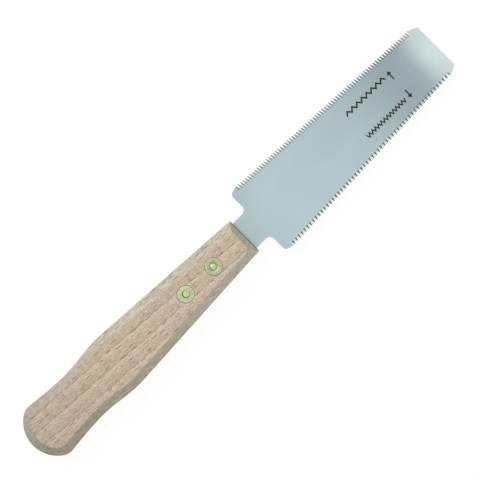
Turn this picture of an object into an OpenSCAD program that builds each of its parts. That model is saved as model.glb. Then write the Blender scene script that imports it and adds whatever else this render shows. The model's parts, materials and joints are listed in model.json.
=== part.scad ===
// Double-edged flush cut saw: a toothed sheet-steel blade held in the sawn slot of a
// one-piece beech handle by two rivets, each a brass cap and a brass post.
// X runs along the saw to the tip of the blade, Y to the coarse-toothed edge, Z up.
// The origin lies under the middle of the saw, on the plane that the handle rests on.

/* [Handle] */
// Length of the handle along the saw
handle_len = 142.4; // [130:0.2:165]
// Thickness of the handle, square to the blade
handle_t = 18; // [15:0.5:24]
// Width across the front end, where the blade comes out
front_w = 20; // [18:0.2:26]
// Width across the belly
belly_w = 30; // [28:0.2:36]
// Distance of the belly behind the front end
belly_at = 85; // [75:1:95]
// Width across the waist, between the belly and the butt
waist_w = 26.4; // [22:0.2:29]
// Distance of the waist behind the front end
waist_at = 108; // [100:1:116]
// Width across the two corners of the butt
butt_w = 30.2; // [28:0.2:36]
// Height of the round butt end above its corners
butt_crown = 10; // [7:0.5:13]
// Length taken off each side of a butt corner, where it is eased round
butt_ease = 2.4; // [1:0.2:4]
// Width of the eased edges along the sides and round the butt, seen from above
edge_ease = 3.4; // [1.6:0.1:4.6]
// Width of the eased edges across the front end, seen from above
front_ease = 3.1; // [1:0.1:4.6]
// Depth of the eased edges, down from either face
ease_depth = 4; // [2:0.1:6]

/* [Blade] */
// Length of the blade from its shoulder to its tip
blade_len = 120.4; // [90:0.2:150]
// Thickness of the steel
blade_t = 0.5; // [0.3:0.05:0.9]
// Width over the tooth points at the heel
heel_w = 39.6; // [34:0.2:48]
// Width over the tooth points at the toe
toe_w = 29.6; // [27:0.2:34]
// Width of the square end of the blade
nose_w = 25.3; // [20:0.1:27]
// Length of the bevelled corner between the last tooth and the end of the blade
nose_bevel = 4.8; // [2:0.1:8]
// Length of the neck between the handle and the shoulder
neck_len = 9.1; // [6:0.1:16]
// Width of the neck, and of the tang that carries on into the handle
neck_w = 16.4; // [14:0.2:17.6]
// Radius of the hollow corner between the neck and the shoulder
neck_r = 2.6; // [1.5:0.1:4.5]
// Radius of the round corner of the heel
heel_r = 2.4; // [1.5:0.1:4]
// Rise of the edge from the heel's round corner to the first tooth point, in degrees
heel_slope = 16; // [4:1:24]
// Corner taken off the end of the tang
tang_corner = 3; // [1:0.2:5]
// Length of the tang behind the centre of the rear rivet
tang_margin = 8.5; // [6:0.5:14]

/* [Teeth] */
// Distance from the shoulder to the start of the teeth
teeth_from = 4.4; // [3.6:0.1:8]
// Pitch of the coarse teeth
coarse_pitch = 1.5; // [1.2:0.05:2.4]
// Depth of the coarse gullets
coarse_depth = 2.4; // [1.4:0.1:3]
// Width of a coarse tooth at its point
coarse_point = 0.45; // [0.1:0.05:0.6]
// Width of the flat at the root of a coarse gullet
coarse_root = 0.75; // [0.3:0.05:0.9]
// Lean of the coarse teeth towards the handle, because the saw cuts on the pull, in degrees
coarse_lean = 13; // [0:1:18]
// Pitch of the fine teeth
fine_pitch = 1; // [0.9:0.05:1.6]
// Depth of the fine gullets
fine_depth = 2.1; // [1.2:0.1:2.6]
// Width of a fine tooth at its point
fine_point = 0.25; // [0.1:0.05:0.4]
// Width of the flat at the root of a fine gullet
fine_root = 0.45; // [0.2:0.05:0.5]
// Lean of the fine teeth towards the handle, in degrees
fine_lean = 3; // [0:1:12]
// Angle of the file across the blade, turned the other way at every other fine gullet, in degrees
fine_fleam = 12; // [0:1:20]

/* [Rivets] */
// Distance of the front rivet behind the front end of the handle
front_rivet_at = 20.8; // [14:0.2:26]
// Distance between the two rivets
rivet_spacing = 18.7; // [14:0.1:30]
// Diameter of the rivet heads
head_d = 8.5; // [7.4:0.1:9.6]
// Thickness of the rivet heads
head_t = 1.6; // [1:0.1:2.4]
// Distance that the heads lie below the faces of the handle
head_inset = 0.1; // [0.05:0.05:0.4]
// Edge taken off the rivet heads
head_edge = 0.3; // [0.1:0.05:0.6]
// Outside diameter of the sleeve under a cap
sleeve_d = 5.4; // [5:0.1:6]
// Diameter of the shank of a post
shank_d = 3.6; // [3:0.1:4]
// Taper at the end of a shank, which shows in the hole of its cap
shank_taper = 0.4; // [0.2:0.1:1.2]
// Countersink round the hole of a cap
cap_sink = 0.45; // [0.1:0.05:0.6]

/* [Clearances] */
// Gap between the blade and each wall of the slot
slot_gap = 0.05; // [0.02:0.01:0.15]
// Gap between the end of the tang and the end of the slot
slot_end_gap = 1.5; // [0.5:0.1:4]
// Gap round the sleeve of a rivet, in the wood and in the steel
sleeve_gap = 0.1; // [0.03:0.01:0.25]
// Gap round the heads of the rivets
head_gap = 0.1; // [0.03:0.01:0.25]
// Gap between a shank and the sleeve that it is driven into
shank_gap = 0.03; // [0.01:0.01:0.08]
// Gap between the end of a sleeve and the head of its post
sleeve_end_gap = 0.3; // [0.1:0.1:1]

/* [Hidden] */

beech = [0.75, 0.66, 0.56];
steel = [0.70, 0.77, 0.79];
brass = [0.74, 0.78, 0.58];

// How far a cut runs past the faces that it breaks through
overrun = 0.1;
// Segments in a quarter turn of the blade's corners
corner_steps = 8;
// Segments from belly to waist, along the flare, round a butt corner and round half the butt
belly_steps = 12;
flare_steps = 9;
ease_steps = 4;
crown_steps = 9;
// Segments down an eased edge, and its fullness: 1 is a flat bevel and 2 is a quarter round
edge_steps = 6;
edge_fullness = 1.15;
// Facets round the rivets and their holes
round_facets = 64;

// Places along the saw, measured from its middle
saw_len = handle_len + neck_len + blade_len;
front_x = handle_len - saw_len / 2;
rear_rivet_at = front_rivet_at + rivet_spacing;
tang_len = rear_rivet_at + tang_margin;
shoulder_x = neck_len;
nose_x = neck_len + blade_len;
// Height of the middle of the blade
blade_z = handle_t / 2;
slot_t = blade_t + 2 * slot_gap;
// Depth of the seats of the rivet heads
seat_depth = head_inset + head_t;

// Handle outline, as distance behind the front end and half width

butt_at = handle_len - butt_crown;
butt_r = (butt_w * butt_w / 4 + butt_crown * butt_crown) / (2 * butt_crown);
butt_turn = asin(butt_w / 2 / butt_r);
// Angle of the butt's arc that the eased corner takes up
ease_turn = butt_ease / butt_r * 180 / PI;

// Share left of a curve that falls softly from 1 to 0
function wave(u) = (1 + cos(180 * u)) / 2;

// Half width of the handle at a distance behind its front end, short of the butt's corners
function half_width(d) =
    d <= belly_at
        ? (front_w + (belly_w - front_w) * d / belly_at) / 2
        : d <= waist_at
            ? (waist_w + (belly_w - waist_w) * wave((d - belly_at) / (waist_at - belly_at))) / 2
            : (waist_w + (butt_w - waist_w) * (1 - cos(90 * (d - waist_at) / (butt_at - waist_at)))) / 2;

// Point of the handle's side at a distance behind its front end
function side_point(d) = [d, half_width(d)];

// Point of the butt's arc at an angle from the axis
function butt_point(a) = [handle_len - butt_r + butt_r * cos(a), butt_r * sin(a)];

// Point of a curve that leaves a towards b and arrives at c from b
function soft_corner(a, b, c, u) = (1 - u) * (1 - u) * a + 2 * u * (1 - u) * b + u * u * c;

ease_from = butt_at - butt_ease;
ease_start = side_point(ease_from);
butt_corner = [butt_at, butt_w / 2];
ease_end = butt_point(butt_turn - ease_turn);

half_outline = concat(
    [side_point(0)],
    [for (i = [0:belly_steps]) side_point(belly_at + (waist_at - belly_at) * i / belly_steps)],
    [for (i = [1:flare_steps]) side_point(waist_at + (ease_from - waist_at) * i / flare_steps)],
    [for (i = [1:ease_steps]) soft_corner(ease_start, butt_corner, ease_end, i / ease_steps)],
    [for (i = [1:crown_steps]) butt_point((butt_turn - ease_turn) * (1 - i / crown_steps))]
);
half_count = len(half_outline);

// Whole outline in the saw's X and Y, from the front corner at +Y round the butt to the one at -Y
outline = concat(
    [for (p = half_outline) [front_x - p.x, p.y]],
    [for (i = [half_count - 2:-1:0]) [front_x - half_outline[i].x, -half_outline[i].y]]
);
outline_count = len(outline);

// Inward normal of the outline edge that starts at a point
function inward(i) =
    let (edge = outline[(i + 1) % outline_count] - outline[i])
    [-edge.y, edge.x] / norm(edge);

// Move that brings a corner inside two edges, by a distance from each
function between(n1, d1, n2, d2) =
    [d1 * n2.y - d2 * n1.y, n1.x * d2 - n2.x * d1] / (n1.x * n2.y - n1.y * n2.x);

// Move of an outline point from the side of the handle to the inner line of its eased edge
function ease_move(i) =
    let (before = inward((i + outline_count - 1) % outline_count), after = inward(i))
    i == 0
        ? between(before, front_ease, after, edge_ease)
        : i == outline_count - 1
            ? between(before, edge_ease, after, front_ease)
            : edge_ease * (before + after) / (1 + before * after);

ease_moves = [for (i = [0:outline_count - 1]) ease_move(i)];

// Shares of the eased edge's width and depth, from the side of the handle to its face
ease_shares = [
    for (i = [0:edge_steps]) let (a = 90 * i / edge_steps)
    [1 - pow(cos(a), 2 / edge_fullness), pow(sin(a), 2 / edge_fullness)]
];

// Share of the inset and height of each ring round the handle, from the lower face to the upper
rings = concat(
    [for (i = [edge_steps:-1:0]) [ease_shares[i][0], ease_depth * (1 - ease_shares[i][1])]],
    [for (i = [0:edge_steps]) [ease_shares[i][0], handle_t - ease_depth * (1 - ease_shares[i][1])]]
);
ring_count = len(rings);

// Two triangles over four points, given in order round the outside
function quad(a, b, c, d) = [[a, b, c], [a, c, d]];

// Handle before the slot and the rivet holes are cut
module handle_blank() {
    points = [
        for (ring = rings, i = [0:outline_count - 1])
        let (p = outline[i] + ring[0] * ease_moves[i]) [p.x, p.y, ring[1]]
    ];
    top = (ring_count - 1) * outline_count;
    last = outline_count - 1;
    walls = [
        for (k = [0:ring_count - 2], i = [0:last])
        let (low = k * outline_count, high = low + outline_count, next = (i + 1) % outline_count)
        each quad(low + i, high + i, high + next, low + next)
    ];
    // Each face is a ladder of strips between the two sides, closed by a triangle at the butt
    lower = [for (i = [0:half_count - 3]) each quad(i, i + 1, last - i - 1, last - i)];
    upper = [
        for (i = [0:half_count - 3])
        each quad(top + last - i, top + last - i - 1, top + i + 1, top + i)
    ];
    butt = half_count - 1;
    ends = [[butt - 1, butt, butt + 1], [top + butt + 1, top + butt, top + butt - 1]];
    polyhedron(points, concat(walls, lower, upper, ends));
}

// Holes through the handle for one rivet: the sleeve's bore and a seat for a head in each face
module rivet_holes(at) {
    seat_r = head_d / 2 + head_gap;
    translate([front_x - at, 0, 0]) {
        translate([0, 0, -overrun])
            cylinder(h = handle_t + 2 * overrun, r = sleeve_d / 2 + sleeve_gap, $fn = round_facets);
        translate([0, 0, -overrun])
            cylinder(h = seat_depth + overrun, r = seat_r, $fn = round_facets);
        translate([0, 0, handle_t - seat_depth])
            cylinder(h = seat_depth + overrun, r = seat_r, $fn = round_facets);
    }
}

// One piece of beech with rounded edges, slotted from the front for the tang
module handle() {
    slot_len = tang_len + slot_end_gap;
    slot_w = belly_w + 2 * overrun;
    color(beech) difference() {
        handle_blank();
        translate([front_x - slot_len, -slot_w / 2, blade_z - slot_t / 2])
            cube([slot_len + overrun, slot_w, slot_t]);
        rivet_holes(front_rivet_at);
        rivet_holes(rear_rivet_at);
    }
}

// Points of an arc from one angle to another
function arc(centre, r, from, to) = [
    for (i = [0:corner_steps]) let (a = from + (to - from) * i / corner_steps)
    centre + r * [cos(a), sin(a)]
];

// Ends of a line of tooth points, and the length and slope of that line
teeth_start = [shoulder_x + teeth_from, heel_w / 2];
teeth_end = [nose_x - nose_bevel, toe_w / 2];
teeth_len = norm(teeth_end - teeth_start);
teeth_slope = atan2(teeth_end.y - teeth_start.y, teeth_end.x - teeth_start.x);

// Length of the heel's round corner along the saw, and the centre of that corner
heel_turn_len = heel_r * (1 - sin(heel_slope));
heel_rise = (teeth_from - heel_turn_len) * tan(heel_slope);
heel_centre = [shoulder_x + heel_r, teeth_start.y - heel_rise - heel_r * cos(heel_slope)];

// Outline of the blade's +Y half before its teeth are cut, measured from the front of the handle
blade_half = concat(
    [[-tang_len, neck_w / 2 - tang_corner], [tang_corner - tang_len, neck_w / 2]],
    arc([shoulder_x - neck_r, neck_w / 2 + neck_r], neck_r, 270, 360),
    arc(heel_centre, heel_r, 180, 90 + heel_slope),
    [teeth_start, teeth_end, [nose_x, nose_w / 2]]
);

// Blade before its teeth are cut
module blade_blank() {
    last = len(blade_half) - 1;
    below = [for (i = [last:-1:0]) [blade_half[i].x, -blade_half[i].y]];
    linear_extrude(height = blade_t, center = true)
        polygon(concat(blade_half, below));
}

// One gullet as the file cuts it: a leaning notch with a flat root, slanted across the blade by the fleam
module gullet(opening, root, depth, lean, fleam) {
    root_x = depth * tan(lean);
    cut_len = (blade_t + 2 * overrun + opening * abs(sin(fleam))) / cos(fleam);
    rotate([0, fleam, 0])
        linear_extrude(height = cut_len, center = true)
            polygon([
                [root_x - root / 2, -depth],
                [root_x + root / 2, -depth],
                [opening / 2, 0],
                [opening / 2, overrun],
                [-opening / 2, overrun],
                [-opening / 2, 0]
            ]);
}

// All the gullets along the +Y edge, centred on its length, with the file turned over at every other one
module gullets(pitch, depth, point, root, lean, fleam) {
    count = floor(teeth_len / pitch);
    first = (teeth_len - (count - 1) * pitch) / 2;
    opening = pitch - point - blade_t * tan(fleam);
    translate([teeth_start.x, teeth_start.y, 0])
        rotate([0, 0, teeth_slope])
            for (i = [0:count - 1])
                translate([first + i * pitch, 0, 0])
                    gullet(opening, root, depth, lean, i % 2 == 0 ? fleam : -fleam);
}

// Sheet-steel blade with its tang: coarse teeth filed square at +Y, fine teeth filed crosswise at -Y
module blade() {
    hole_r = sleeve_d / 2 + sleeve_gap;
    color(steel) translate([front_x, 0, blade_z]) difference() {
        blade_blank();
        gullets(coarse_pitch, coarse_depth, coarse_point, coarse_root, coarse_lean, 0);
        mirror([0, 1, 0]) gullets(fine_pitch, fine_depth, fine_point, fine_root, fine_lean, fine_fleam);
        for (at = [front_rivet_at, rear_rivet_at])
            translate([-at, 0, -blade_t / 2 - overrun])
                cylinder(h = blade_t + 2 * overrun, r = hole_r, $fn = round_facets);
    }
}

// Upper half of a rivet: a head with a countersunk hole, and the sleeve under it
module rivet_cap(at) {
    head_r = head_d / 2;
    bore_r = shank_d / 2 + shank_gap;
    face_z = handle_t - head_inset;
    seat_z = handle_t - seat_depth;
    end_z = seat_depth + sleeve_end_gap;
    color(brass) translate([front_x - at, 0, 0])
        rotate_extrude($fn = round_facets)
            polygon([
                [bore_r, end_z],
                [sleeve_d / 2, end_z],
                [sleeve_d / 2, seat_z],
                [head_r, seat_z],
                [head_r, face_z - head_edge],
                [head_r - head_edge, face_z],
                [bore_r + cap_sink, face_z],
                [bore_r, face_z - cap_sink]
            ]);
}

// Lower half of a rivet: a head, and a shank whose tapered end shows in the hole of the cap
module rivet_post(at) {
    head_r = head_d / 2;
    shank_r = shank_d / 2;
    end_z = handle_t - head_inset;
    color(brass) translate([front_x - at, 0, 0])
        rotate_extrude($fn = round_facets)
            polygon([
                [0, head_inset],
                [head_r - head_edge, head_inset],
                [head_r, head_inset + head_edge],
                [head_r, seat_depth],
                [shank_r, seat_depth],
                [shank_r, end_z - shank_taper],
                [shank_r - shank_taper, end_z],
                [0, end_z]
            ]);
}

handle();
blade();
rivet_cap(front_rivet_at);  // front_rivet_cap
rivet_post(front_rivet_at);  // front_rivet_post
rivet_cap(rear_rivet_at);  // rear_rivet_cap
rivet_post(rear_rivet_at);  // rear_rivet_post
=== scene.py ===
"""Looks of a double-edged flush cut saw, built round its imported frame.

X runs along the saw to the tip of the blade, Y to the coarse-toothed edge and Z up, in metres.
"""

import json
import logging
import math
from collections.abc import Callable, Iterator
from contextlib import contextmanager
from dataclasses import dataclass, field
from enum import Enum

import bmesh
import bpy
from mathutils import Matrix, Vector

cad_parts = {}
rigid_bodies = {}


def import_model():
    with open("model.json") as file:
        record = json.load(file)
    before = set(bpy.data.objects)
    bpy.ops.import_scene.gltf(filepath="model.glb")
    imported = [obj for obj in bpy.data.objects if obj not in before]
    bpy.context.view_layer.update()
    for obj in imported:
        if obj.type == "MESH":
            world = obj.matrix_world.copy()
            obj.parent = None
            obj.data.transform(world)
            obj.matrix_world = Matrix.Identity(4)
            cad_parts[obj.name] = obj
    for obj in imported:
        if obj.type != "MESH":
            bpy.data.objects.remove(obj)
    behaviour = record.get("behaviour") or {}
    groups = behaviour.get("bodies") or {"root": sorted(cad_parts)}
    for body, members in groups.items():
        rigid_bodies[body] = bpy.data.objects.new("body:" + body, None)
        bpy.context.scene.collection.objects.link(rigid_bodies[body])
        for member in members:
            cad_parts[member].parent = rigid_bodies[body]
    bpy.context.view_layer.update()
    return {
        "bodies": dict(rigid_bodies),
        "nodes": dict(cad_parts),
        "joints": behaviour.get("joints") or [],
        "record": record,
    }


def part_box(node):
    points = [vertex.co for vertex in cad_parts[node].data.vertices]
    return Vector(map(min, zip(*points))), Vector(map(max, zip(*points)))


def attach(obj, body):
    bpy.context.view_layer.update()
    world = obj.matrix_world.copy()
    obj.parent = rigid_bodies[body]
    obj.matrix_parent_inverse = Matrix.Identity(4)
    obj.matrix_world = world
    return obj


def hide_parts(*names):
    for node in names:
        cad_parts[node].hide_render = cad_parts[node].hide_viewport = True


MM = 0.001
PER_MM = 1 / MM
ROOT = "root"
LOG = logging.getLogger("flush_cut_saw")

Colour = tuple[float, float, float]
Cell = tuple[float, float, float]
Pair = tuple[float, float]
Socket = bpy.types.NodeSocket

# Parts of the range of noise over which a tone changes softly, and slowly
SOFT: Pair = (0.35, 0.65)
SLOW: Pair = (0.3, 0.7)
# Upward share of a normal, from a flat face to a tilted one
TILTED: Pair = (0.95, 0.80)


class Element(Enum):
    """Kind of mesh element that a selection takes."""

    VERT = "VERT"
    EDGE = "EDGE"
    FACE = "FACE"


class Slot(Enum):
    """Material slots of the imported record."""

    BEECH = "beech"
    STEEL = "blade_steel"
    BRASS = "rivet_brass"


class ToothedEdge(Enum):
    """The blade's two toothed edges, by the side of the saw that they lie on."""

    COARSE = 1
    FINE = -1


class Workpiece:
    """One mesh on the bench, shaped with edit-mode operators and then fitted to the saw."""

    same_place = 0.002 * MM

    def __init__(self, name: str) -> None:
        """Takes up the object that a primitive has just added, with its place in its mesh.

        Args:
            name: Name of the finished piece.
        """
        bpy.ops.object.transform_apply(location=True, rotation=True, scale=True)
        self.obj: bpy.types.Object = bpy.context.active_object
        self.obj.name = name
        self.obj.data.name = name

    @classmethod
    def between(cls, name: str, low: Vector, high: Vector) -> "Workpiece":
        """Adds a block between two corners, or a flat sheet where they have the same height.

        Args:
            name: Name of the piece.
            low: Lowest corner.
            high: Highest corner.

        Returns:
            The new piece.
        """
        span = high - low
        bpy.ops.object.select_all(action="DESELECT")
        add = bpy.ops.mesh.primitive_cube_add if span.z else bpy.ops.mesh.primitive_plane_add
        add(size=1, location=(low + high) / 2)
        bpy.context.active_object.scale = (span.x, span.y, span.z or 1)
        return cls(name)

    @classmethod
    def copy_of(cls, name: str, node: bpy.types.Object) -> "Workpiece":
        """Copies a node of the frame, which stays as it is, and joins the copy's loose triangles.

        Args:
            name: Name of the piece.
            node: The node.

        Returns:
            The new piece.
        """
        bpy.ops.object.select_all(action="DESELECT")
        copy = bpy.data.objects.new(name, node.data.copy())
        bpy.context.scene.collection.objects.link(copy)
        copy.select_set(True)
        bpy.context.view_layer.objects.active = copy
        piece = cls(name)
        with piece.edit():
            bpy.ops.mesh.select_all(action="SELECT")
            bpy.ops.mesh.remove_doubles(threshold=cls.same_place)
        return piece

    @classmethod
    def turned(cls, name: str, axis: Vector, rings: list[Pair], facets: int, bored: bool) -> "Workpiece":
        """Turns a piece about an upright axis, one ring after another.

        Args:
            name: Name of the piece.
            axis: Any point of the axis.
            rings: Radius and height of each ring, in order along the profile.
            facets: Number of facets round the piece.
            bored: Whether the last ring joins the first, round a bore, or both ends are flat.

        Returns:
            The new piece.
        """
        radius, height = rings[0]
        bpy.ops.object.select_all(action="DESELECT")
        bpy.ops.mesh.primitive_circle_add(
            vertices=facets,
            radius=radius,
            fill_type="NOTHING" if bored else "NGON",
            location=(axis.x, axis.y, height),
        )
        piece = cls(name)
        with piece.edit():
            bpy.ops.mesh.select_all(action="SELECT")
            for next_radius, next_height in rings[1:] + rings[:1] * bored:
                share = next_radius / radius
                piece.extrude((0, 0, next_height - height))
                piece.resize((share, share, 1), (axis.x, axis.y, next_height))
                radius, height = next_radius, next_height
            bpy.ops.mesh.select_all(action="SELECT")
            bpy.ops.mesh.remove_doubles(threshold=cls.same_place)
            bpy.ops.mesh.normals_make_consistent(inside=False)
        return piece

    @contextmanager
    def edit(self) -> Iterator[None]:
        """Opens the mesh in edit mode with nothing selected, and closes it again.

        Returns:
            A context in which the mesh is open.
        """
        self.take_up()
        bpy.ops.object.mode_set(mode="EDIT")
        bpy.ops.mesh.select_all(action="DESELECT")
        yield
        bpy.ops.object.mode_set(mode="OBJECT")

    def take_up(self) -> None:
        """Selects this piece alone and makes it the active one."""
        bpy.ops.object.select_all(action="DESELECT")
        self.obj.select_set(True)
        bpy.context.view_layer.objects.active = self.obj

    def pick(self, element: Element, test: Callable[..., bool]) -> None:
        """Selects the elements of the open mesh that pass a test, and nothing else.

        Args:
            element: Kind of element to select.
            test: Says whether an element is selected.
        """
        bpy.ops.mesh.select_mode(type=element.value)
        bpy.ops.mesh.select_all(action="DESELECT")
        shape = bmesh.from_edit_mesh(self.obj.data)
        shape.normal_update()
        kinds = {Element.VERT: shape.verts, Element.EDGE: shape.edges, Element.FACE: shape.faces}
        for item in kinds[element]:
            if test(item):
                item.select_set(True)
        shape.select_flush_mode()
        bmesh.update_edit_mesh(self.obj.data)

    def extrude(self, move: tuple[float, float, float]) -> None:
        """Extrudes the selection of the open mesh by a move."""
        bpy.ops.mesh.extrude_region_move(TRANSFORM_OT_translate={"value": move})

    def resize(self, share: tuple[float, float, float], about: tuple[float, float, float]) -> None:
        """Resizes the selection of the open mesh about a point."""
        bpy.ops.transform.resize(value=share, center_override=about)

    def finish_with(self, kind: str, **settings: object) -> None:
        """Adds a modifier and applies it.

        Args:
            kind: Type of the modifier.
            **settings: Its settings.
        """
        self.take_up()
        modifier = self.obj.modifiers.new(kind.lower(), kind)
        for name, value in settings.items():
            setattr(modifier, name, value)
        bpy.ops.object.modifier_apply(modifier=modifier.name)

    def cut_out(self, other: "Workpiece") -> None:
        """Cuts another piece out of this one, and uses it up."""
        self.finish_with("BOOLEAN", operation="DIFFERENCE", solver="EXACT", object=other.obj)
        bpy.data.objects.remove(other.obj)

    def smooth(self, sharp_from: float) -> None:
        """Shades the piece smoothly, apart from the edges that turn more than an angle.

        Args:
            sharp_from: Least angle of an edge that stays sharp.
        """
        self.take_up()
        bpy.ops.object.shade_smooth_by_angle(angle=sharp_from)
        self.finish_with("WEIGHTED_NORMAL", keep_sharp=True)

    def fit(self, material: bpy.types.Material, slot: Slot | None, *nodes: str) -> None:
        """Gives the piece its finish and fits it to the saw.

        Args:
            material: The finish.
            slot: The record's slot for that finish, if it has one; not used.
            *nodes: Nodes of the frame that the piece stands for.
        """
        self.obj.data.materials.clear()
        self.obj.data.materials.append(material)
        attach(self.obj, ROOT)
        if nodes:
            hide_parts(*nodes)
        faces = len(self.obj.data.polygons)
        LOG.info("%s: %d faces, stands for %s", self.obj.name, faces, nodes or "no node")


class Sketch:
    """A node tree that is drawn node by node."""

    def __init__(self, tree: bpy.types.NodeTree) -> None:
        """Starts with an empty tree.

        Args:
            tree: The tree to draw in.
        """
        self.tree = tree
        tree.nodes.clear()

    @classmethod
    def of_material(cls, name: str) -> tuple[bpy.types.Material, "Sketch"]:
        """Makes a new material.

        Args:
            name: Name of the material.

        Returns:
            The material and the sketch of its tree.
        """
        material = bpy.data.materials.new(name)
        material.use_nodes = True
        return material, cls(material.node_tree)

    def add(self, kind: str, inputs: dict | None = None, **settings: object) -> bpy.types.Node:
        """Adds a node.

        Args:
            kind: Type of the node, without its prefix.
            inputs: Values or sockets for its inputs, by name or number.
            **settings: Other settings of the node.

        Returns:
            The node.
        """
        node = self.tree.nodes.new("ShaderNode" + kind)
        for name, value in settings.items():
            setattr(node, name, value)
        for key, value in (inputs or {}).items():
            if isinstance(value, Socket):
                self.tree.links.new(value, node.inputs[key])
            else:
                node.inputs[key].default_value = value
        return node

    def maths(self, operation: str, *values: Socket | float) -> Socket:
        """Works out a number from others."""
        return self.add("Math", dict(enumerate(values)), operation=operation).outputs[0]

    def rise(self, value: Socket, low: float, high: float, least: float = 0, most: float = 1) -> Socket:
        """Rises smoothly from the least to the most number while a value goes from low to high."""
        inputs = {"Value": value, "From Min": low, "From Max": high, "To Min": least, "To Max": most}
        return self.add("MapRange", inputs, interpolation_type="SMOOTHSTEP").outputs[0]

    def blend(self, share: Socket | float, first: object, second: object, how: str = "MIX") -> Socket:
        """Blends a share of a second colour into a first one."""
        inputs = {0: share, 6: self.rgba(first), 7: self.rgba(second)}
        return self.add("Mix", inputs, data_type="RGBA", blend_type=how).outputs[2]

    def grey(self, level: Socket) -> Socket:
        """Makes a grey of one level."""
        return self.add("CombineColor", {0: level, 1: level, 2: level}).outputs[0]

    @staticmethod
    def rgba(colour: object) -> object:
        """Gives a colour of three numbers its alpha, and leaves a socket as it is."""
        return colour if isinstance(colour, Socket) else (*colour, 1)

    def stretch(self, place: Socket, length: float, width: float, height: float) -> Socket:
        """Measures a place in cells of a length, width and height in the same unit."""
        inputs = {"Vector": place, "Scale": (1 / length, 1 / width, 1 / height)}
        return self.add("Mapping", inputs).outputs[0]

    def noise(self, place: Socket, cell: Cell, detail: float, swirl: float = 0) -> Socket:
        """Draws soft noise about 0.5, with one wave to a cell and a number of finer layers."""
        inputs = {"Vector": self.stretch(place, *cell), "Scale": 1, "Detail": detail, "Distortion": swirl}
        return self.add("TexNoise", inputs).outputs[0]

    def relief(self, height: Socket, strength: float, depth: float) -> Socket:
        """Gives the normal of a surface with a slight relief."""
        return self.add("Bump", {"Strength": strength, "Distance": depth, "Height": height}).outputs[0]

    def place_in_mm(self, turn: float = 0) -> Socket:
        """Gives the place on the piece in millimetres, turned about Z."""
        inputs = {
            "Vector": self.add("TexCoord").outputs["Object"],
            "Rotation": (0, 0, turn),
            "Scale": (PER_MM, PER_MM, PER_MM),
        }
        return self.add("Mapping", inputs).outputs[0]

    def axes(self, place: Socket) -> tuple[Socket, Socket, Socket]:
        """Splits a place into X, Y and Z."""
        return tuple(self.add("SeparateXYZ", {0: place}).outputs)

    def surface(self, **inputs: object) -> None:
        """Ends a material with its surface.

        Args:
            **inputs: Inputs of the surface, with _ for a space in their names.
        """
        named = {name.replace("_", " "): value for name, value in inputs.items()}
        shader = self.add("BsdfPrincipled", named)
        self.add("OutputMaterial", {"Surface": shader.outputs[0]})

    def seen(self) -> Socket:
        """Tells the rays that show a thing directly, in a mirror or through glass from those that light it.

        Returns:
            One for a ray that shows it, and zero for one that lights it.
        """
        path = self.add("LightPath").outputs
        shown = self.maths("MAXIMUM", path["Is Camera Ray"], path["Is Glossy Ray"])
        return self.maths("MAXIMUM", shown, path["Is Transmission Ray"])


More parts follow.
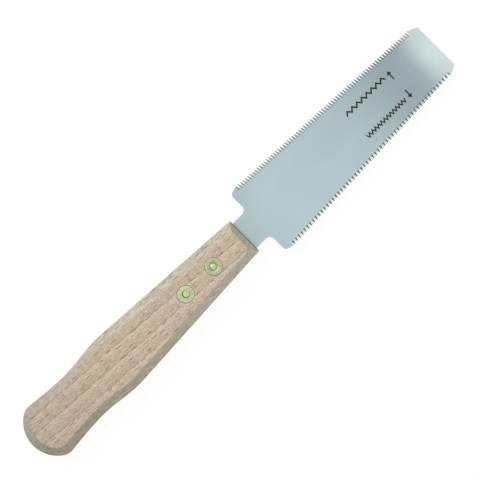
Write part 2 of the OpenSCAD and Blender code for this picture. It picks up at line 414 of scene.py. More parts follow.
@dataclass(frozen=True)
class Beech:
    """Plain sanded beech: growth bands that start with a thin dark line, fibres and many small ray flecks.

    Lengths and cells are in millimetres. A pair says where a change starts and where it ends, or gives
    the least and the most of a shade.
    """

    mid: Colour = (0.507, 0.402, 0.300)
    pale: Colour = (0.588, 0.475, 0.367)
    late: Colour = (0.37, 0.28, 0.20)
    blush: Colour = (1.015, 0.985, 0.98)
    straw: Colour = (0.99, 1.01, 0.985)
    fleck: Colour = (0.12, 0.075, 0.045)
    edge_tint: Colour = (0.97, 1.13, 1.21)
    end_tint: Colour = (0.815, 0.86, 0.85)
    # Painted shade on the lower eased edge, which faces away from the lamp, stronger towards the butt
    lower_edge_painted_shade: Colour = (0.855, 0.85, 0.835)
    # Painted shade: the wood darkens towards the butt
    butt_painted_shade: Colour = (0.90, 0.89, 0.88)
    butt_edge_tint: Colour = (0.92, 0.92, 0.91)
    # Painted shade: a thin dark line along the front edge
    front_arris_painted_shade: Colour = (0.40, 0.43, 0.43)
    grain_turn: float = math.radians(3.8)
    band: float = 6.6
    first_band: float = 2.7
    dark_line: float = 0.22
    pale_from: float = 0.45
    line_strength: Pair = (0.25, 0.8)
    edge_figure: float = 0.25
    sway: float = 3
    sway_cell: Cell = (70, 25, 25)
    jitter: float = 1.6
    jitter_cell: Cell = (5, 0.8, 2)
    ray_lean: float = 0.35
    fibre_w: float = 0.27
    fibre_h: float = 1.0
    fibre_layers: tuple[Pair, ...] = ((15, 0.07), (3.2, 0.19), (0.9, 0.24))
    slimness: float = 3.2
    scatter: float = 0.95
    fleck_chance: Pair = (0.98, 1.12)
    fleck_rim: float = 0.06
    fleck_share: float = 0.20
    line_crowd: float = 0.45
    patch_crowd: float = 0.1
    fleck_depth: float = 0.96
    long_cell: Pair = (5.2, 1.3)
    long_size: float = 0.36
    short_cell: Pair = (3.0, 0.9)
    short_size: float = 0.33
    short_depth: float = 0.8
    edge_wear: float = 0.3
    lower_wear: float = 0.5
    patch_cell: Cell = (24, 5, 12)
    strength_cell: Cell = (12, 4, 6)
    stain_cell: Cell = (7, 3, 3)
    stain: Pair = (0.55, 1.15)
    mottle_cell: Cell = (2.4, 1.3, 1.3)
    mottle: Pair = (0.89, 1.11)
    end_facing: Pair = (0.3, 0.65)
    lower_facing: Pair = (0.2, -0.2)
    # Where the lower edge's painted shade begins and reaches its full share
    lower_shade_reach: Pair = (10, 90)
    lower_shade_share: Pair = (0.2, 1)
    # Where the painted shade towards the butt begins and ends
    butt_shade_reach: Pair = (60, 130)
    butt_edge_reach: Pair = (90, 125)
    # How far behind the front end the painted dark line reaches
    front_arris_shade_reach: Pair = (0.6, 0.25)
    roughness: float = 0.62
    roughness_swing: float = 0.06
    rough_relief: Pair = (0.8, 1.2)
    sheen: float = 0.35
    relief: float = 0.05 * MM
    relief_share: float = 0.25

    def laid_flat(self, sketch: Sketch, grain: Socket) -> Socket:
        """Lays the grain on a plane, in which what runs down the sides carries on across the faces.

        Args:
            sketch: Sketch of the material.
            grain: Place along the grain in millimetres.

        Returns:
            The place on the plane in millimetres.
        """
        x, y, z = sketch.axes(grain)
        across = sketch.maths("MULTIPLY_ADD", z, self.ray_lean, y)
        return sketch.add("CombineXYZ", {0: x, 1: across}).outputs[0]

    def bands(self, sketch: Sketch, grain: Socket) -> tuple[Socket, Socket]:
        """Draws the growth bands: each starts with a thin dark line and pales slowly up to the next.

        Args:
            sketch: Sketch of the material.
            grain: Place along the grain in millimetres.

        Returns:
            The share of the dark line, and the share of the pale wood before the next line.
        """
        across = sketch.axes(self.laid_flat(sketch, grain))[1]
        drift = sketch.noise(grain, self.sway_cell, 2)
        jitter = sketch.noise(grain, self.jitter_cell, 2)
        reach = sketch.maths("MULTIPLY_ADD", drift, self.sway, across)
        reach = sketch.maths("MULTIPLY_ADD", jitter, self.jitter, reach)
        ring = sketch.maths("DIVIDE", sketch.maths("SUBTRACT", reach, self.first_band), self.band)
        part = sketch.maths("FRACT", ring)
        return sketch.rise(part, self.dark_line, 0), sketch.rise(part, self.pale_from, 1)

    def fibres(self, sketch: Sketch, grain: Socket) -> Socket:
        """Draws the fibres: long streaks, shorter fibres and grains, all about as thin.

        Args:
            sketch: Sketch of the material.
            grain: Place along the grain in millimetres.

        Returns:
            Their shade, about 1 on average.
        """
        shade = 1.0
        for length, swing in self.fibre_layers:
            waves = sketch.noise(grain, (length, self.fibre_w, self.fibre_h), 1)
            shade = sketch.maths("MULTIPLY", sketch.rise(waves, *SLOW, 1 - swing, 1 + swing), shade)
        return shade

    def flecks(self, sketch: Sketch, grain: Socket, cell: Pair, kept: Socket, size: float) -> Socket:
        """Scatters ray flecks, one to a cell at most.

        Args:
            sketch: Sketch of the material.
            grain: Place along the grain in millimetres.
            cell: Length and width of a cell.
            kept: Share of the cells that hold a fleck.
            size: Half the length of the longest fleck in cells.

        Returns:
            One in a fleck and zero outside.
        """
        cells = sketch.stretch(self.laid_flat(sketch, grain), *cell, 1)
        inputs = {"Vector": cells, "Scale": 1, "Randomness": self.scatter}
        scatter = sketch.add("TexVoronoi", inputs, voronoi_dimensions="2D").outputs
        chance = sketch.maths("ADD", sketch.axes(scatter["Color"])[0], kept)
        reach = sketch.rise(chance, *self.fleck_chance, 0, size)
        off = sketch.add("VectorMath", {0: cells, 1: scatter["Position"]}, operation="SUBTRACT").outputs[0]
        slim = sketch.stretch(off, 1, 1 / self.slimness, 1)
        distance = sketch.add("VectorMath", {0: slim}, operation="LENGTH").outputs["Value"]
        return sketch.rise(sketch.maths("SUBTRACT", reach, distance), 0, self.fleck_rim)

    def wood(self, sketch: Sketch, grain: Socket, flat: Socket, shown: Socket) -> tuple[Socket, Socket]:
        """Draws the wood as it looks on a face, without its edges.

        Args:
            sketch: Sketch of the material.
            grain: Place along the grain in millimetres.
            flat: One on a face, and zero on an eased edge, where the growth bands are faint.
            shown: How much the flecks show.

        Returns:
            The colour, and the height of its relief.
        """
        late, pale = self.bands(sketch, grain)
        bared = sketch.maths("MULTIPLY_ADD", flat, 1 - self.edge_figure, self.edge_figure)
        swing = sketch.maths("SUBTRACT", self.fibres(sketch, grain), 1)
        fibres = sketch.maths("MULTIPLY_ADD", swing, bared, 1)
        patches = sketch.noise(grain, self.patch_cell, 2)
        strong = sketch.rise(sketch.noise(grain, self.strength_cell, 1), *SOFT, *self.line_strength)
        strong = sketch.maths("MULTIPLY", strong, flat)
        colour = sketch.blend(sketch.maths("MULTIPLY", pale, bared), self.mid, self.pale)
        colour = sketch.blend(sketch.maths("MULTIPLY", late, strong), colour, self.late)
        tint = sketch.blend(sketch.rise(patches, *SOFT), self.straw, self.blush)
        colour = sketch.blend(1, colour, tint, "MULTIPLY")
        colour = sketch.blend(1, colour, sketch.grey(fibres), "MULTIPLY")
        patchy = sketch.rise(patches, *SLOW, 0, self.patch_crowd)
        crowd = sketch.maths("MULTIPLY_ADD", late, self.line_crowd, patchy)
        kept = sketch.maths("ADD", crowd, self.fleck_share)
        long = self.flecks(sketch, grain, self.long_cell, kept, self.long_size)
        short = self.flecks(sketch, grain, self.short_cell, kept, self.short_size)
        dark = sketch.maths("MAXIMUM", long, sketch.maths("MULTIPLY", short, self.short_depth))
        dark = sketch.maths("MULTIPLY", dark, shown)
        colour = sketch.blend(sketch.maths("MULTIPLY", dark, self.fleck_depth), colour, self.fleck)
        return colour, sketch.maths("SUBTRACT", fibres, dark)

    def material(self, front: float) -> bpy.types.Material:
        """Draws the finish.

        Args:
            front: Place of the handle's front end, along whose edge a thin dark line of painted shade is
                drawn.

        Returns:
            The material.
        """
        material, sketch = Sketch.of_material("sanded_beech")
        grain = sketch.place_in_mm(self.grain_turn)
        facing = sketch.axes(sketch.add("TexCoord").outputs["Normal"])
        edge = sketch.rise(sketch.maths("ABSOLUTE", facing[2]), *TILTED)
        end = sketch.rise(sketch.maths("ABSOLUTE", facing[0]), *self.end_facing)
        lower = sketch.maths("MULTIPLY", edge, sketch.rise(facing[1], *self.lower_facing))
        wear_and_highlight = sketch.maths("MULTIPLY", edge, self.edge_wear)
        wear_and_highlight = sketch.maths("MULTIPLY_ADD", lower, self.lower_wear, wear_and_highlight)
        shown = sketch.maths("SUBTRACT", 1, sketch.maths("MAXIMUM", wear_and_highlight, end))
        colour, relief = self.wood(sketch, grain, sketch.maths("SUBTRACT", 1, edge), shown)
        stains = sketch.noise(grain, self.stain_cell, 2)
        greyed = sketch.maths("MULTIPLY", edge, sketch.rise(stains, *SOFT, *self.stain))
        spots = sketch.noise(grain, self.mottle_cell, 2)
        mottle = sketch.grey(sketch.rise(spots, *SOFT, *self.mottle))
        behind = sketch.maths("SUBTRACT", front * PER_MM, sketch.axes(sketch.place_in_mm())[0])
        lower_shade_share = sketch.rise(behind, *self.lower_shade_reach, *self.lower_shade_share)
        butt_edge = sketch.maths("MULTIPLY", edge, sketch.rise(behind, *self.butt_edge_reach))
        # The rows for the lower edge, the butt and the front arris paint shade.
        shades = (
            (greyed, self.edge_tint),
            (edge, mottle),
            (end, self.end_tint),
            (sketch.maths("MULTIPLY", lower, lower_shade_share), self.lower_edge_painted_shade),
            (sketch.rise(behind, *self.butt_shade_reach), self.butt_painted_shade),
            (butt_edge, self.butt_edge_tint),
            (sketch.rise(behind, *self.front_arris_shade_reach), self.front_arris_painted_shade),
        )
        for share, tint in shades:
            colour = sketch.blend(share, colour, tint, "MULTIPLY")
        smooth, rough = self.roughness - self.roughness_swing, self.roughness + self.roughness_swing
        sketch.surface(
            Base_Color=colour,
            Roughness=sketch.rise(relief, *self.rough_relief, smooth, rough),
            Specular_IOR_Level=self.sheen,
            Normal=sketch.relief(relief, self.relief_share, self.relief),
        )
        return material


@dataclass(frozen=True)
class ToothLine:
    """One toothed edge of the blade: the line of its points and the gullets between them."""

    edge: ToothedEdge
    start: Vector
    end: Vector
    depth: float
    pitch: float
    lean: float
    close_in: float
    fill: float
    slant: float = 0
    grind: float = 0
    near: float = 0.03 * MM
    fade: Pair = (1.25, 0.8)

    @property
    def length(self) -> float:
        """Gives the length of the line."""
        return (self.end - self.start).length

    @property
    def gullets(self) -> int:
        """Gives the number of gullets."""
        return math.floor(self.length / self.pitch)

    @property
    def first(self) -> float:
        """Gives the distance from the start of the line to the middle of the first gullet."""
        return (self.length - (self.gullets - 1) * self.pitch) / 2

    def move(self, along: float, out: float) -> Vector:
        """Gives a move along the line and out of the blade."""
        way = (self.end - self.start).normalized()
        return Vector((along * way.x - out * way.y, self.edge.value * (along * way.y + out * way.x), 0))

    def filed(self, point: Vector, middle: float) -> Pair:
        """Tells how the file moves a corner of the teeth, along the line and out of the blade.

        The two sides of a gullet's root come together, so that it ends narrow and less deep. The file slants
        to one side at every other gullet, and so grinds the teeth back from each face in turn.

        Args:
            point: A point of the blade.
            middle: Height of the middle of the blade.

        Returns:
            The move, which is zero for a point that is no corner of the teeth.
        """
        off = Vector((point.x, point.y * self.edge.value)) - self.start.xy
        way = (self.end - self.start).xy.normalized()
        along, inside = off.dot(way), off.cross(way)
        face = 1 if point.z > middle else -1
        if not 0 < along < self.length:
            return 0, 0
        if abs(inside - self.depth) < self.near:
            turn = (along - self.first - self.depth * math.tan(self.lean)) / self.pitch
            side = 1 if turn > round(turn) else -1
            return self.slant * face * (-1) ** round(turn) - side * self.close_in, self.fill
        tooth = math.floor((along - self.first) / self.pitch)
        whole = 0 <= tooth < self.gullets - 1
        if abs(inside) < self.near and whole and face == (-1) ** tooth:
            return 0, -self.grind
        return 0, 0

    def mask(self, sketch: Sketch, x: Socket, y: Socket) -> Socket:
        """Finds the teeth.

        Args:
            sketch: Sketch of the material.
            x: Place along the saw in millimetres.
            y: Place across the saw in millimetres.

        Returns:
            One on the teeth, fading past their roots, and zero elsewhere.
        """
        fall = (self.end.y - self.start.y) / (self.end.x - self.start.x)
        reach = sketch.maths("MULTIPLY_ADD", x, fall, (self.start.y - fall * self.start.x) * PER_MM)
        inside = sketch.maths("SUBTRACT", reach, sketch.maths("MULTIPLY", y, self.edge.value))
        root = (self.depth - self.fill) * PER_MM
        toothed = sketch.rise(inside, self.fade[0] * root, self.fade[1] * root)
        middle = (self.start.x + self.end.x) / 2 * PER_MM
        between = sketch.maths("COMPARE", x, middle, (self.end.x - self.start.x) / 2 * PER_MM)
        return sketch.maths("MULTIPLY", toothed, between)

    def every_other(self, sketch: Sketch, x: Socket) -> Socket:
        """Tells the teeth that are filed from one face from those filed from the other.

        Args:
            sketch: Sketch of the material.
            x: Place along the saw in millimetres.

        Returns:
            One in the middle of one tooth, zero in the middle of the next.
        """
        rate = math.pi / self.pitch * self.length / (self.end.x - self.start.x)
        phase = -self.start.x * rate - math.pi * self.first / self.pitch
        turn = sketch.maths("MULTIPLY_ADD", x, rate * MM, phase)
        return sketch.maths("MULTIPLY_ADD", sketch.maths("SINE", turn), 0.5, 0.5)


@dataclass(frozen=True)
class SatinSteel:
    """Satin sheet steel, faintly clouded by rolling, with darker teeth along both edges, partly hardened and
    partly painted shade.

    Cells are in millimetres.
    """

    base: Colour = (0.465, 0.575, 0.595)
    cloud: Colour = (0.96, 0.965, 0.97)
    # Teeth colour: partly the dark of hardening, partly painted shade of the gullets, fading past the roots
    coarse_tooth_hardened_and_shaded: Colour = (0.27, 0.335, 0.345)
    # One fine tooth in two is painted in shade, the next in light
    fine_tooth_painted_shade: Colour = (0.10, 0.12, 0.12)
    fine_tooth_painted_light: Colour = (0.66, 0.78, 0.80)
    # Painted shade on the tilted filed facets of the teeth
    filed: Colour = (0.10, 0.125, 0.125)
    cloud_cell: Cell = (30, 18, 18)
    cloud_swirl: float = 0.3
    cloud_span: Pair = (0.35, 0.7)
    line_cell: Cell = (24, 0.3, 1)
    roughness: float = 0.25
    roughness_swing: float = 0.02
    relief: float = 0.01 * MM
    relief_share: float = 0.02

    def material(self, coarse: ToothLine, fine: ToothLine) -> bpy.types.Material:
        """Draws the finish.

        Args:
            coarse: The coarse-toothed edge.
            fine: The fine-toothed edge.

        Returns:
            The material.
        """
        material, sketch = Sketch.of_material("satin_steel")
        place = sketch.place_in_mm()
        x, y, _ = sketch.axes(place)
        clouds = sketch.noise(place, self.cloud_cell, 2, self.cloud_swirl)
        lines = sketch.noise(place, self.line_cell, 2)
        colour = sketch.blend(sketch.rise(clouds, *self.cloud_span), self.base, self.cloud, "MULTIPLY")
        upright = sketch.axes(sketch.add("TexCoord").outputs["Normal"])[2]
        # Tilted facets of the teeth get painted shade
        facet_painted_shade = sketch.rise(sketch.maths("ABSOLUTE", upright), *TILTED)
        # Painted shade and painted light on every other fine tooth
        fine_teeth_painted_light_and_shade = sketch.blend(fine.every_other(sketch, x), self.fine_tooth_painted_light, self.fine_tooth_painted_shade)
        # The tooth masks lay this hardening and painted shade and light over the teeth
        for line, top in ((coarse, self.coarse_tooth_hardened_and_shaded), (fine, fine_teeth_painted_light_and_shade)):
            tooth = sketch.blend(facet_painted_shade, top, self.filed)
            colour = sketch.blend(line.mask(sketch, x, y), colour, tooth)
        smooth, rough = self.roughness - self.roughness_swing, self.roughness + self.roughness_swing
        sketch.surface(
            Base_Color=colour,
            Metallic=1.0,
            Roughness=sketch.rise(lines, *SLOW, smooth, rough),
            Normal=sketch.relief(lines, self.relief_share, self.relief),
        )
        return material


@dataclass(frozen=True)
class PaleBrass:
    """Pale greenish brass of one rivet: bright at its middle, duller and clouded between, with a painted
    highlight on its rim.

    Lengths and cells are in millimetres.
    """

    ring: Colour
    disc: Colour
    # Colour of the painted highlight on the rounded rim
    rim: Colour = (0.62, 0.63, 0.44)
    # Colour of dull clouds and file marks; the clouds are partly painted reflection of an uneven face
    cloud: Colour = (0.76, 0.80, 0.74)
    # Painted shade down in the groove round the post
    groove_painted_shade: Colour = (0.74, 0.81, 0.68)
    mark_cell: Cell = (3, 0.22, 1)
    mark_span: Pair = (0.55, 0.8)
    mark_depth: float = 0.4
    cloud_cell: Cell = (1.3, 1.3, 1.3)
    cloud_swirl: float = 0.5
    cloud_span: Pair = (0.4, 0.7)
    disc_fade: float = 0.3
    rim_from: float = 0.9
    rim_to: float = 0.3
    rim_highlight: float = 0.7
    deep: Pair = (0.05, 0.5)
    smooth: float = 0.25
    rough: float = 0.41
    relief: float = 0.02 * MM
    relief_share: float = 0.2

    def material(self, name: str, axis: Vector, head_r: float, disc_r: float) -> bpy.types.Material:
        """Draws the finish.

        Args:
            name: Name of the material.
            axis: Middle of the upper face.
            head_r: Radius of the heads.
            disc_r: Radius of the post's end.

        Returns:
            The material.
        """
        material, sketch = Sketch.of_material(name)
        place = sketch.place_in_mm()
        x, y, z = sketch.axes(place)
        flat = sketch.add("CombineXYZ", {0: x, 1: y}).outputs[0]
        centre = (axis.x * PER_MM, axis.y * PER_MM, 0)
        off = sketch.add("VectorMath", {0: flat, 1: centre}, operation="DISTANCE").outputs["Value"]
        marks = sketch.noise(place, self.mark_cell, 2)
        clouds = sketch.noise(place, self.cloud_cell, 2, self.cloud_swirl)
        disc, head, face = disc_r * PER_MM, head_r * PER_MM, axis.z * PER_MM
        colour = sketch.blend(sketch.rise(off, disc + self.disc_fade, disc), self.ring, self.disc)
        # Painted highlight round the rounded rim of the head
        wear_and_highlight = sketch.rise(off, head - self.rim_from, head - self.rim_to, 0, self.rim_highlight)
        colour = sketch.blend(wear_and_highlight, colour, self.rim)
        # Clouds: partly dull patches of the brass, partly painted reflection of an uneven face
        colour = sketch.blend(sketch.rise(clouds, *self.cloud_span), colour, self.cloud, "MULTIPLY")
        marked = sketch.rise(marks, *self.mark_span, 0, self.mark_depth)
        colour = sketch.blend(marked, colour, self.cloud, "MULTIPLY")
        # Painted shade: darker down in the groove round the post
        deep = sketch.rise(z, face - self.deep[0], face - self.deep[1])
        colour = sketch.blend(deep, colour, self.groove_painted_shade, "MULTIPLY")
        sketch.surface(
            Base_Color=colour,
            Metallic=1.0,
            Roughness=sketch.rise(marks, *SLOW, self.smooth, self.rough),
            Normal=sketch.relief(marks, self.relief_share, self.relief),
        )
        return material


@dataclass(frozen=True)
class PrintedInk:
    """Dark ink, a little uneven, as it prints on steel.

    Cells are in millimetres.
    """

    base: Colour = (0.010, 0.014, 0.016)
    thin: Colour = (0.022, 0.027, 0.029)
    spot_cell: Cell = (0.5, 0.5, 0.5)
    spot_span: Pair = (0.5, 0.8)
    smooth: float = 0.5
    rough: float = 0.65
    sheen: float = 0.2

    def material(self) -> bpy.types.Material:
        """Draws the finish.

        Returns:
            The material.
        """
        material, sketch = Sketch.of_material("printed_ink")
        spots = sketch.noise(sketch.place_in_mm(), self.spot_cell, 2)
        colour = sketch.blend(sketch.rise(spots, *self.spot_span), self.base, self.thin)
        roughness = sketch.rise(spots, *SLOW, self.smooth, self.rough)
        sketch.surface(Base_Color=colour, Roughness=roughness, Specular_IOR_Level=self.sheen)
        return material


@dataclass
class Rivet:
    """Two-part brass rivet: a bored cap with its sleeve, and a post whose end shows in the cap's hole."""

    place: str
    brass: PaleBrass
    tip_shift: Pair = (0, 0)
    head_t: float = 1.6 * MM
    rim: float = 0.22 * MM
    sleeve_d: float = 5.4 * MM
    shank_d: float = 3.6 * MM
    shank_gap: float = 0.03 * MM
    sink: float = 0.45 * MM
    sink_depth: float = 0.3 * MM
    taper: float = 0.5 * MM
    taper_depth: float = 0.4 * MM
    crown: float = 0.05 * MM
    seat_gap: float = 0.08 * MM
    facets: int = 64
    sharp_from: float = math.radians(32)

    def __post_init__(self) -> None:
        """Takes the rivet's place and heights from the frame."""
        self.cap_node = f"{self.place}_rivet_cap"
        self.post_node = f"{self.place}_rivet_post"
        self.cap_low, self.cap_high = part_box(self.cap_node)
        self.post_low, self.post_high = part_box(self.post_node)
        self.axis = (self.cap_low + self.cap_high) / 2
        self.head_r = (self.cap_high.x - self.cap_low.x) / 2

    def cap(self) -> Workpiece:
        """Turns the cap, with a countersunk hole and an eased rim.

        Returns:
            The cap.
        """
        bore_r = self.shank_d / 2 + self.shank_gap
        face = self.cap_high.z
        seat = face - self.head_t
        rings = [
            (bore_r, self.cap_low.z),
            (self.sleeve_d / 2, self.cap_low.z),
            (self.sleeve_d / 2, seat),
            (self.head_r, seat),
            (self.head_r, face - self.crown),
            (bore_r + self.sink, face),
            (bore_r, face - self.sink_depth),
        ]
        piece = Workpiece.turned(f"brass_cap_{self.place}", self.axis, rings, self.facets, True)
        with piece.edit():
            self.ease_rim(piece, face - self.crown)
        return piece

    def post(self) -> Workpiece:
        """Turns the post, with an eased rim and a tapered, slightly domed end.

        Returns:
            The post.
        """
        shank_r = self.shank_d / 2
        under, end = self.post_low.z, self.post_high.z
        rings = [
            (self.head_r, under),
            (self.head_r, under + self.head_t),
            (shank_r, under + self.head_t),
            (shank_r, end - self.taper_depth),
            (shank_r - self.taper, end - self.crown),
        ]
        piece = Workpiece.turned(f"brass_post_{self.place}", self.axis, rings, self.facets, False)
        with piece.edit():
            piece.pick(Element.FACE, lambda face: face.calc_center_median().z > end - 2 * self.crown)
            bpy.ops.mesh.inset(thickness=(shank_r - self.taper) / 2, depth=self.crown)
            piece.pick(Element.VERT, lambda vert: vert.co.z > end - 2 * self.crown)
            bpy.ops.transform.translate(value=(*self.tip_shift, 0))
            self.ease_rim(piece, under)
        return piece

    def ease_rim(self, piece: Workpiece, height: float) -> None:
        """Rounds the outer rim of a head.

        Args:
            piece: The open piece.
            height: Height of the rim.
        """
        def on_rim(vert: bmesh.types.BMVert) -> bool:
            """Says whether a point lies on the rim."""
            off = vert.co - Vector((self.axis.x, self.axis.y, height))
            return abs(off.z) < piece.same_place and off.xy.length > self.head_r - piece.same_place

        piece.pick(Element.EDGE, lambda edge: all(on_rim(vert) for vert in edge.verts))
        bpy.ops.mesh.bevel(offset=self.rim, segments=3, affect="EDGES")

    def drill(self, low: float, high: float) -> Workpiece:
        """Turns the tool that drills a handle for this rivet, with a seat for a head at each face.

        Args:
            low: Height of the handle's lower face.
            high: Height of its upper face.

        Returns:
            The tool.
        """
        seat_r = self.head_r + self.seat_gap
        bore_r = self.sleeve_d / 2 + self.seat_gap
        lower_seat = self.post_low.z + self.head_t
        upper_seat = self.cap_high.z - self.head_t
        rings = [
            (seat_r, low - MM),
            (seat_r, lower_seat),
            (bore_r, lower_seat),
            (bore_r, upper_seat),
            (seat_r, upper_seat),
            (seat_r, high + MM),
        ]
        return Workpiece.turned("rivet_drill", self.axis, rings, self.facets, False)

    def build(self) -> None:
        """Builds and fits both halves."""
        face = Vector((self.axis.x, self.axis.y, self.cap_high.z))
        disc_r = self.shank_d / 2 - self.taper
        brass = self.brass.material(f"pale_brass_{self.place}", face, self.head_r, disc_r)
        for piece, node in ((self.cap(), self.cap_node), (self.post(), self.post_node)):
            piece.smooth(self.sharp_from)
            piece.fit(brass, Slot.BRASS, node)


@dataclass
class Handle:
    """One-piece beech handle: waisted, with a round butt and bevelled edges, slotted and drilled."""

    rivets: list[Rivet]
    front_w: float = 20.0 * MM
    belly_w: float = 30.0 * MM
    belly_at: float = 85 * MM
    waist_w: float = 26.4 * MM
    waist_at: float = 108 * MM
    butt_w: float = 30.2 * MM
    butt_crown: float = 10 * MM
    butt_ease: float = 2.4 * MM
    edge_ease: float = 4.15 * MM
    front_ease: float = 3.1 * MM
    ease_depth: float = 4 * MM
    edge_fullness: float = 1.06
    corner_r: float = 0.35 * MM
    slot_gap: float = 0.05 * MM
    slot_end_gap: float = 1.5 * MM
    belly_steps: int = 18
    flare_steps: int = 14
    corner_steps: int = 6
    crown_steps: int = 16
    edge_steps: int = 9
    sharp_from: float = math.radians(40)
    node: str = "handle"

    def __post_init__(self) -> None:
        """Takes the handle's place and size from the frame."""
        self.low, self.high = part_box(self.node)
        self.butt_at = self.high.x - self.low.x - self.butt_crown

    def half_width(self, behind: float) -> float:
        """Gives half the width of the handle short of the butt's corners.

        Args:
            behind: Distance behind the front end.

        Returns:
            Half the width there.
        """
        if behind <= self.belly_at:
            return (self.front_w + (self.belly_w - self.front_w) * behind / self.belly_at) / 2
        if behind <= self.waist_at:
            turn = math.pi * (behind - self.belly_at) / (self.waist_at - self.belly_at)
            return (self.waist_w + (self.belly_w - self.waist_w) * (1 + math.cos(turn)) / 2) / 2
        turn = math.pi / 2 * (behind - self.waist_at) / (self.butt_at - self.waist_at)
        return (self.waist_w + (self.butt_w - self.waist_w) * (1 - math.cos(turn))) / 2

    def stations(self) -> list[Pair]:
        """Lists the cross lines from the belly to the butt.

        Returns:
            Distance behind the front end and half width of each cross line.
        """
        half = self.butt_w / 2
        radius = (half * half + self.butt_crown * self.butt_crown) / (2 * self.butt_crown)
        centre = self.butt_at + self.butt_crown - radius
        arc = math.asin(half / radius) - self.butt_ease / radius
        leave = Vector((self.butt_at - self.butt_ease, self.half_width(self.butt_at - self.butt_ease)))
        corner = Vector((self.butt_at, half))
        arrive = Vector((centre + radius * math.cos(arc), radius * math.sin(arc)))
        lines = []
        for step in range(self.belly_steps + 1):
            behind = self.belly_at + (self.waist_at - self.belly_at) * step / self.belly_steps
            lines.append((behind, self.half_width(behind)))
        for step in range(1, self.flare_steps + 1):
            behind = self.waist_at + (leave.x - self.waist_at) * step / self.flare_steps
            lines.append((behind, self.half_width(behind)))
        for step in range(1, self.corner_steps + 1):
            share = step / self.corner_steps
            point = leave.lerp(corner, share).lerp(corner.lerp(arrive, share), share)
            lines.append((point.x, point.y))
        for step in range(1, self.crown_steps + 1):
            turn = arc * (1 - step / self.crown_steps)
            lines.append((centre + radius * math.cos(turn), radius * math.sin(turn)))
        return lines

    def blank(self) -> Workpiece:
        """Shapes the handle before it is slotted and drilled.

        Returns:
            The blank.
        """
        front, base = self.high.x, self.low.z + self.ease_depth
        wall = self.high.z - self.low.z - 2 * self.ease_depth
        half = self.front_w / 2
        low = Vector((front - self.belly_at, -half, base))
        piece = Workpiece.between("beech_handle", low, Vector((front, half, base)))
        with piece.edit():
            piece.pick(Element.VERT, lambda vert: vert.co.x < front - self.belly_at / 2)
            reach = self.belly_at
            for behind, wide in self.stations():
                if behind > reach:
                    piece.extrude((reach - behind, 0, 0))
                piece.resize((1, wide / half, 1), (front - behind, 0, base))
                reach, half = behind, wide
            bpy.ops.mesh.merge(type="CENTER")
            bpy.ops.mesh.select_all(action="SELECT")
            piece.extrude((0, 0, wall))
            bpy.ops.mesh.select_all(action="SELECT")
            bpy.ops.mesh.normals_make_consistent(inside=False)
            piece.pick(Element.FACE, lambda face: abs(face.normal.z) > 0.5)
            bpy.ops.mesh.dissolve_faces()
            self.ease_edges(piece)
        return piece

    def ease_edges(self, piece: Workpiece) -> None:
        """Eases the edges of both faces, less across the front end, and softens the front corners.

        Args:
            piece: The open blank, with its straight wall only.
        """
        front = self.high.x
        piece.pick(Element.FACE, lambda face: abs(face.normal.z) > 0.5)
        inset, rise = 0.0, 0.0
        for step in range(1, self.edge_steps + 1):
            turn = math.pi / 2 * step / self.edge_steps
            next_inset = self.edge_ease * (1 - math.cos(turn) ** (2 / self.edge_fullness))
            next_rise = self.ease_depth * math.sin(turn) ** (2 / self.edge_fullness)
            bpy.ops.mesh.inset(thickness=next_inset - inset, depth=next_rise - rise, use_even_offset=True)
            inset, rise = next_inset, next_rise
        piece.pick(Element.VERT, lambda vert: vert.co.x > front - self.edge_ease - self.corner_r)
        piece.resize((self.front_ease / self.edge_ease, 1, 1), (front, 0, 0))

        def on_corner(edge: bmesh.types.BMEdge) -> bool:
            """Says whether an edge runs up one of the front corners."""
            first, second = (vert.co for vert in edge.verts)
            near = min(first.x, second.x) > front - self.edge_ease
            return near and first.y * second.y > 0

        piece.pick(Element.EDGE, on_corner)
        bpy.ops.mesh.bevel(offset=self.corner_r, segments=3, affect="EDGES")

    def build(self, beech: Beech) -> None:
        """Builds the handle, slots and drills it, and fits it.

        Args:
            beech: Its finish.
        """
        piece = self.blank()
        blade_low, blade_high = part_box("blade")
        slot_low = Vector((blade_low.x - self.slot_end_gap, self.low.y - MM, blade_low.z - self.slot_gap))
        slot_high = Vector((self.high.x + MM, self.high.y + MM, blade_high.z + self.slot_gap))
        piece.cut_out(Workpiece.between("slot_cutter", slot_low, slot_high))
        for rivet in self.rivets:
            piece.cut_out(rivet.drill(self.low.z, self.high.z))
        piece.smooth(self.sharp_from)
        piece.fit(beech.material(self.high.x), Slot.BEECH, self.node)


